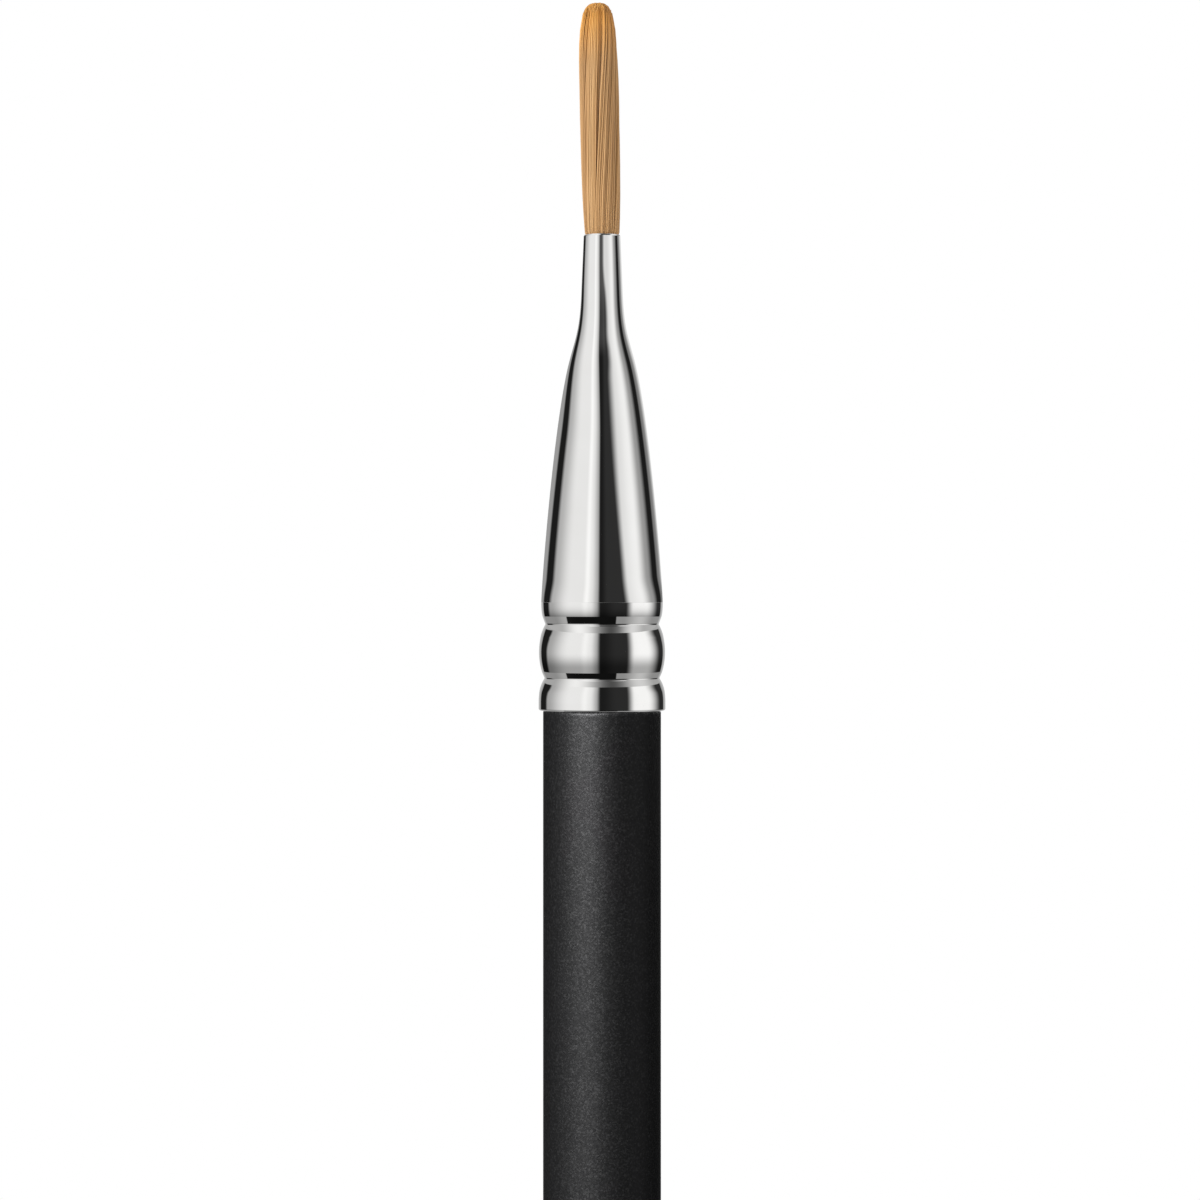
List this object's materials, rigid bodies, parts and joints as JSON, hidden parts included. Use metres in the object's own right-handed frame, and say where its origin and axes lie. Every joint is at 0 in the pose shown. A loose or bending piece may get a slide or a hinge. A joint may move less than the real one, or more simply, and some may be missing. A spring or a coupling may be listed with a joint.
{
  "type": "fine detail brush",
  "caption": "Slim round detail brush: matte black lacquered wooden handle, polished beaded ferrule with a long cone and narrow neck, and a blunt golden liner tuft that bends.",
  "frame": {"origin": "centre of the bounding box's underside: the lowest point of the handle's rounded butt, on the brush's axis", "axes": "+Z along the brush's axis from the butt towards the point of the tuft; +X to the right and +Y away from the viewer in the front view"},
  "size_m": [0.0068, 0.0068, 0.176],
  "materials": {
    "birch": "bare turned birch, sanded",
    "black_lacquer": "matte black lacquer with a fine speckle",
    "nickel_plate": "polished nickel plate over drawn brass",
    "glue": "set resin glue, amber",
    "cement": "set epoxy cement, amber",
    "thread": "waxed natural thread",
    "filament": "golden synthetic filament, satin, orange towards the point"
  },
  "bodies": {
    "brush": {"handle": "birch", "lacquer_coat": "black_lacquer", "ferrule": "nickel_plate", "handle_glue": "glue", "root_cement": "cement", "binding_thread": "thread", "tuft_heel": "filament"},
    "belly": {"tuft_belly": "filament"},
    "tip": {"tuft_tip": "filament"}
  },
  "joints": [
    {"name": "tuft_bend", "type": "hinge", "parent": "brush", "child": "belly", "pos_m": [0, 0, 0.1662], "axis": [1, 0, 0], "range_deg": [-35, 35], "stiffness_Nm_per_rad": 0.0006},
    {"name": "tip_bend", "type": "hinge", "parent": "belly", "child": "tip", "pos_m": [0, 0, 0.1712], "axis": [0, 1, 0], "range_deg": [-35, 35], "stiffness_Nm_per_rad": 0.0004}
  ]
}
